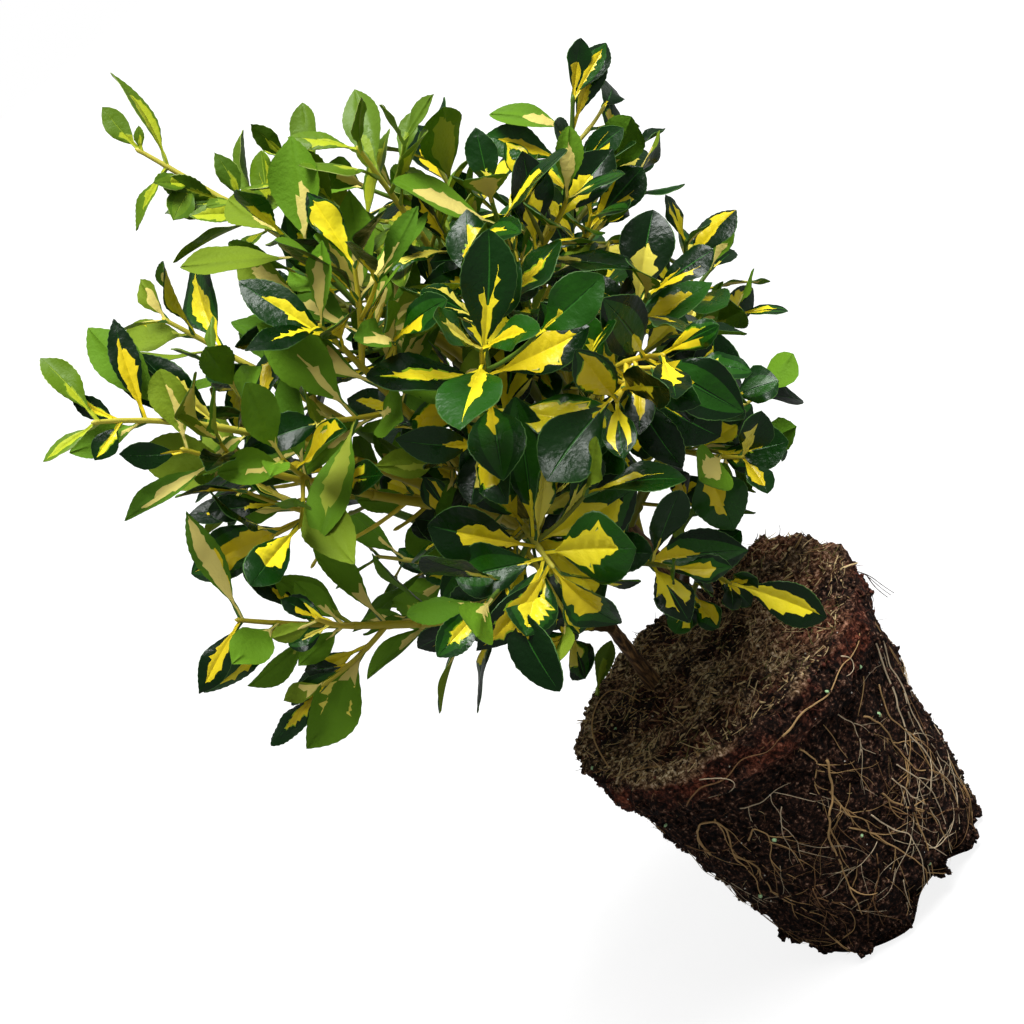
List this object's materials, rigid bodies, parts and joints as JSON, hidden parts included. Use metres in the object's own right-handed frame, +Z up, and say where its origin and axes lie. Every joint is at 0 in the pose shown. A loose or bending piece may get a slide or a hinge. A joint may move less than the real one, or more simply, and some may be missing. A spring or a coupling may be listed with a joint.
{
  "type": "gold-centred japanese spindle shrub on its root ball",
  "caption": "Young evergreen shrub lifted from its pot: a tapered root ball, slim stems and a full crown of dark green leaves with golden centres.",
  "frame": {"origin": "middle of the root ball's flat underside, on the surface the plant stands on", "axes": "+Z up through the root ball and the crown; -Y faces the viewer of the picture, +X to the right"},
  "size_m": [0.2449, 0.2365, 0.4086],
  "materials": {
    "peat": "moist crumbly peat and coir, matt, with pale roots over it",
    "bark": "brown bark with fine lengthwise cracks and tan streaks",
    "green_bark": "smooth olive to golden-green young bark, satin",
    "foliage": "glossy leathery leaves, dark green round ragged golden-yellow centres, matt olive below",
    "young_foliage": "softer young leaves, lime green with pale yellow-green middles, satin"
  },
  "bodies": {
    "root": {"root_ball": "peat", "stem_left": "bark", "stem_right": "bark", "bough_far_left": "green_bark", "bough_right_top": "green_bark", "bough_high_left_tip": "green_bark", "bough_high_middle": "green_bark", "bough_high_back": "green_bark", "bough_right_back": "green_bark", "bough_right_middle": "green_bark", "bough_right_low": "green_bark", "bough_left_back": "green_bark", "bough_left_front": "green_bark", "bough_low_left": "green_bark", "bough_low_middle": "green_bark", "bough_low_centre": "green_bark", "bough_front_rosette": "green_bark", "bough_right_rosette": "green_bark", "bough_basal": "green_bark", "bough_centre_left": "green_bark", "bough_top_middle": "green_bark", "bough_centre_front": "green_bark", "bough_right_front": "green_bark", "bough_low_front": "green_bark", "bough_back_low_right": "green_bark", "bough_back_high_right": "green_bark", "bough_back_middle": "green_bark", "bough_back_low_left": "green_bark", "bough_back_high_left": "green_bark", "bough_back_top": "green_bark", "mass_top_left": "foliage", "mass_high_left": "young_foliage", "mass_far_left": "young_foliage", "mass_right_top": "foliage", "mass_high_left_tip": "young_foliage", "mass_high_middle": "young_foliage", "mass_high_back": "foliage", "mass_right_back": "foliage", "mass_right_middle": "foliage", "mass_right_low": "foliage", "mass_left_back": "foliage", "mass_left_front": "foliage", "mass_low_left": "foliage", "mass_low_middle": "foliage", "mass_low_centre": "foliage", "mass_front_rosette": "foliage", "mass_right_rosette": "foliage", "mass_basal": "foliage", "mass_centre_left": "foliage", "mass_top_middle": "foliage", "mass_centre_front": "foliage", "mass_right_front": "foliage", "mass_low_front": "foliage", "mass_back_low_right": "foliage", "mass_back_high_right": "foliage", "mass_back_middle": "foliage", "mass_back_low_left": "foliage", "mass_back_high_left": "foliage", "mass_back_top": "foliage"}
  },
  "joints": []
}
